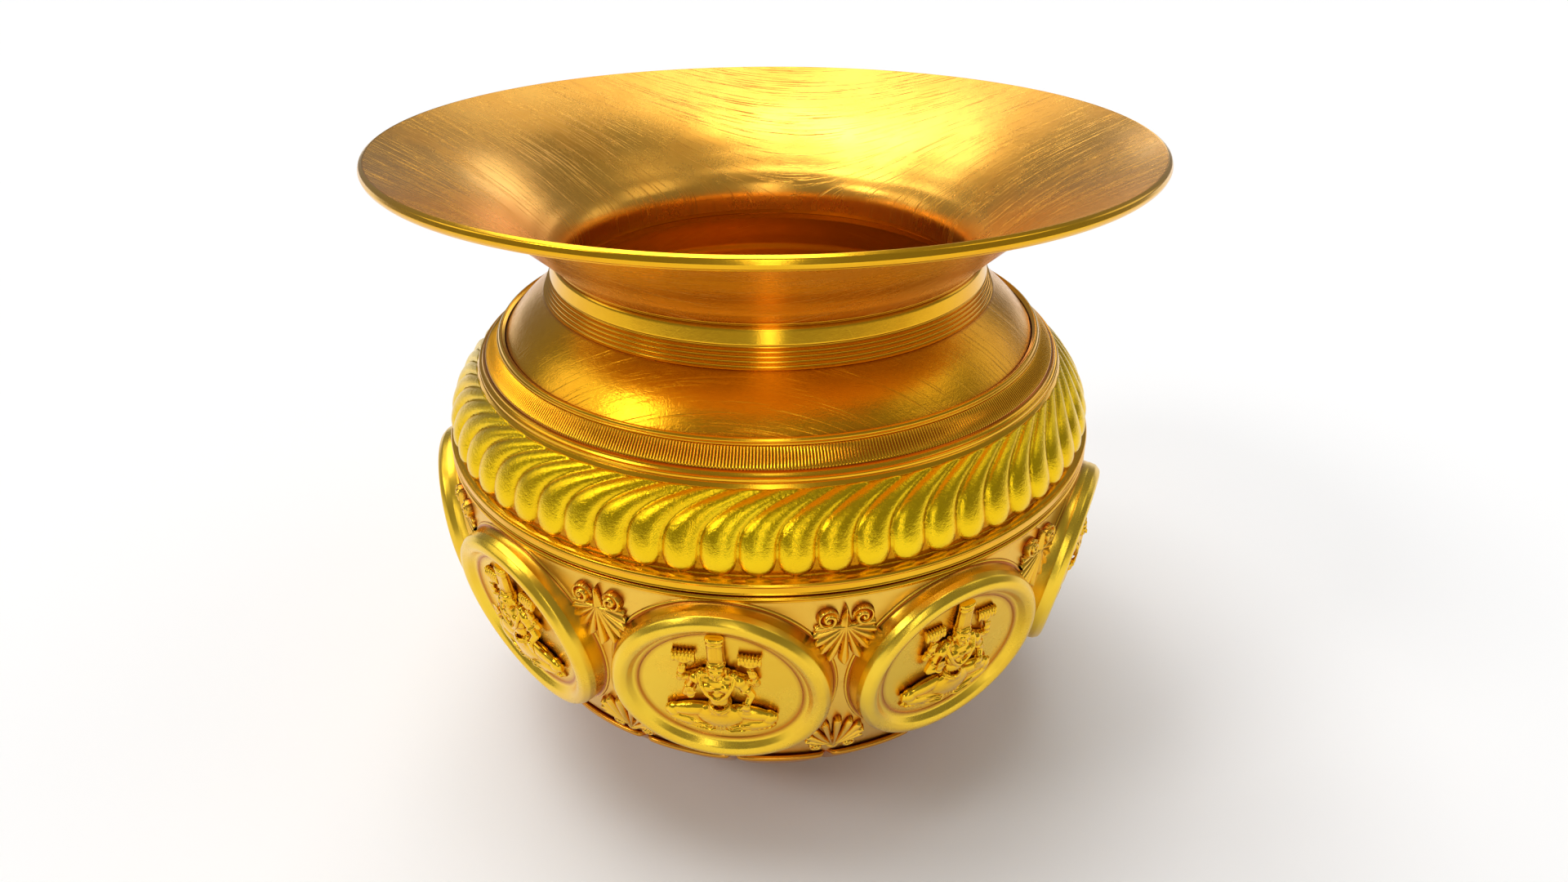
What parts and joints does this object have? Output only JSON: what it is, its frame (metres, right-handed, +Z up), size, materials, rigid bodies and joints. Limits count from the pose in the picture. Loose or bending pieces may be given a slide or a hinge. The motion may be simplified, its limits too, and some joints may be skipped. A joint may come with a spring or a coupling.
{
  "type": "brass kalash pot",
  "caption": "Round brass water pot with a wide flared mouth, slanting gadroon band, figured round medallions, palmettes and a lotus petal base.",
  "frame": {"origin": "centre of the foot ring's resting face, on the table", "axes": "+Z up along the pot's axis; -Y passes through the middle of medallion_1; +X to the right of it"},
  "size_m": [0.152, 0.152, 0.1335],
  "materials": {
    "brass_wall": "satin",
    "brass_shoulder": "polished, hand rubbed",
    "brass_funnel": "hammered and scratched",
    "brass_bead": "polished",
    "brass_gadroon": "fine grained",
    "brass_medallion": "satin",
    "brass_figure": "polished with dark crevices",
    "brass_ornament": "polished with dark crevices"
  },
  "bodies": {
    "root": {"foot_ring": "brass_wall", "lower_bowl": "brass_wall", "lotus_petal_band": "brass_ornament", "shoulder_shell": "brass_shoulder", "neck_ridge_ring": "brass_bead", "neck_collar": "brass_bead", "flared_rim": "brass_funnel", "rim_bead": "brass_bead", "shoulder_bead": "brass_bead", "reeded_band": "brass_bead", "gadroon_top_bead": "brass_bead", "gadroon_band": "brass_gadroon", "waist_bead_upper": "brass_bead", "waist_bead_lower": "brass_bead", "medallion_1": "brass_medallion", "medallion_2": "brass_medallion", "medallion_3": "brass_medallion", "medallion_4": "brass_medallion", "medallion_5": "brass_medallion", "medallion_6": "brass_medallion", "medallion_7": "brass_medallion", "medallion_8": "brass_medallion", "medallion_9": "brass_medallion", "medallion_10": "brass_medallion", "figure_1": "brass_figure", "figure_2": "brass_figure", "figure_3": "brass_figure", "figure_4": "brass_figure", "figure_5": "brass_figure", "figure_6": "brass_figure", "figure_7": "brass_figure", "figure_8": "brass_figure", "figure_9": "brass_figure", "figure_10": "brass_figure", "palmette_upper_1": "brass_ornament", "palmette_upper_2": "brass_ornament", "palmette_upper_3": "brass_ornament", "palmette_upper_4": "brass_ornament", "palmette_upper_5": "brass_ornament", "palmette_upper_6": "brass_ornament", "palmette_upper_7": "brass_ornament", "palmette_upper_8": "brass_ornament", "palmette_upper_9": "brass_ornament", "palmette_upper_10": "brass_ornament", "palmette_lower_1": "brass_ornament", "palmette_lower_2": "brass_ornament", "palmette_lower_3": "brass_ornament", "palmette_lower_4": "brass_ornament", "palmette_lower_5": "brass_ornament", "palmette_lower_6": "brass_ornament", "palmette_lower_7": "brass_ornament", "palmette_lower_8": "brass_ornament", "palmette_lower_9": "brass_ornament", "palmette_lower_10": "brass_ornament"}
  },
  "joints": []
}
